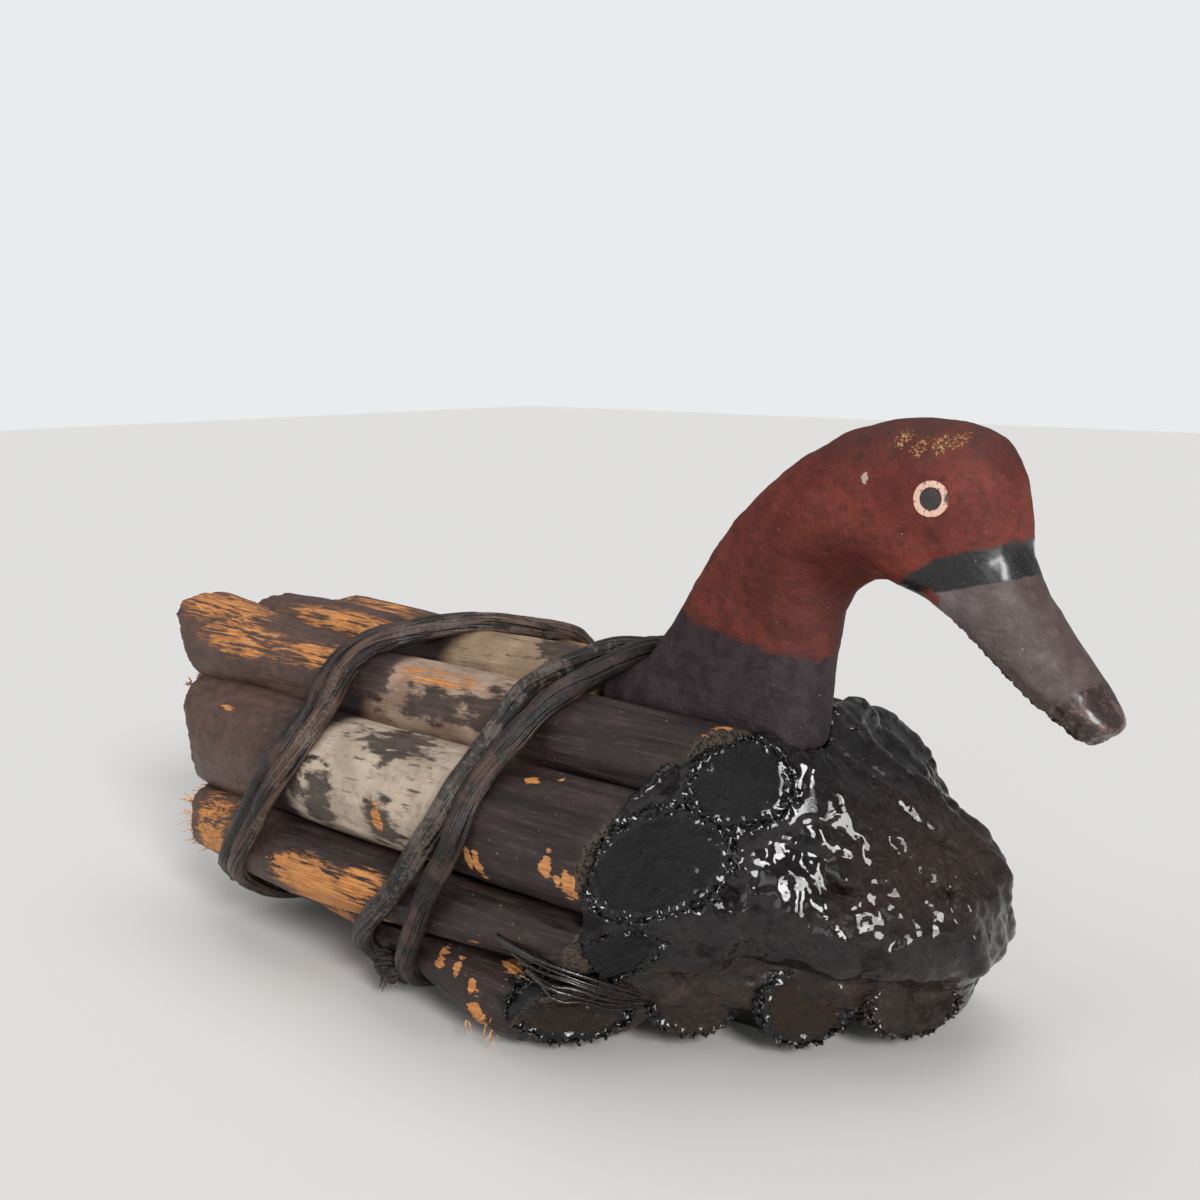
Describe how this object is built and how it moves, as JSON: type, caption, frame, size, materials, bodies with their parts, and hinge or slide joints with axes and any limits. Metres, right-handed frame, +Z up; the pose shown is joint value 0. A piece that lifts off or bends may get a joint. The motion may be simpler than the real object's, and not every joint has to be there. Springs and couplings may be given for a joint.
{
  "type": "floating duck decoy",
  "caption": "Hunting decoy of a diving duck: a lashed bundle of buoyant stems with a tarred breast and a carved, painted wooden head on a raised neck.",
  "frame": {"origin": "on the ground, in the middle of the narrow flat worn on the underside of the lowest stem, below the breast", "axes": "+X the way the duck faces, along the stems; +Y the duck's left side; +Z up"},
  "size_m": [0.3547, 0.1511, 0.1845],
  "materials": {
    "painted_stem": "thin worn charcoal-plum paint over pithy stem, grain and orange bark showing through",
    "bare_stem": "dark paint largely worn off reddish-orange bark, with rough cut ends",
    "head_paint": "matte brick-red paint, charcoal below the neck, grey bill with a black tip and a glossy black band",
    "peg_wood": "plain split wood",
    "tar": "thick glossy black tar, lumpy and wrinkled",
    "withy": "dark grooved bark of a twisted shoot"
  },
  "bodies": {
    "root": {"stem_top_right": "painted_stem", "stem_top_left": "painted_stem", "stem_top_middle": "painted_stem", "stem_side_right": "painted_stem", "stem_side_left": "painted_stem", "stem_filler_right": "bare_stem", "stem_filler_left": "bare_stem", "stem_low_right": "bare_stem", "stem_low_left": "bare_stem", "stem_low_middle_right": "bare_stem", "stem_low_middle": "bare_stem", "stem_low_middle_left": "bare_stem", "stem_core": "bare_stem", "head_and_neck": "head_paint", "neck_peg": "peg_wood", "breast_tar": "tar", "front_withy_a": "withy", "front_withy_b": "withy", "rear_withy_a": "withy", "rear_withy_b": "withy", "front_withy_twist": "withy", "rear_withy_twist": "withy"}
  },
  "joints": []
}
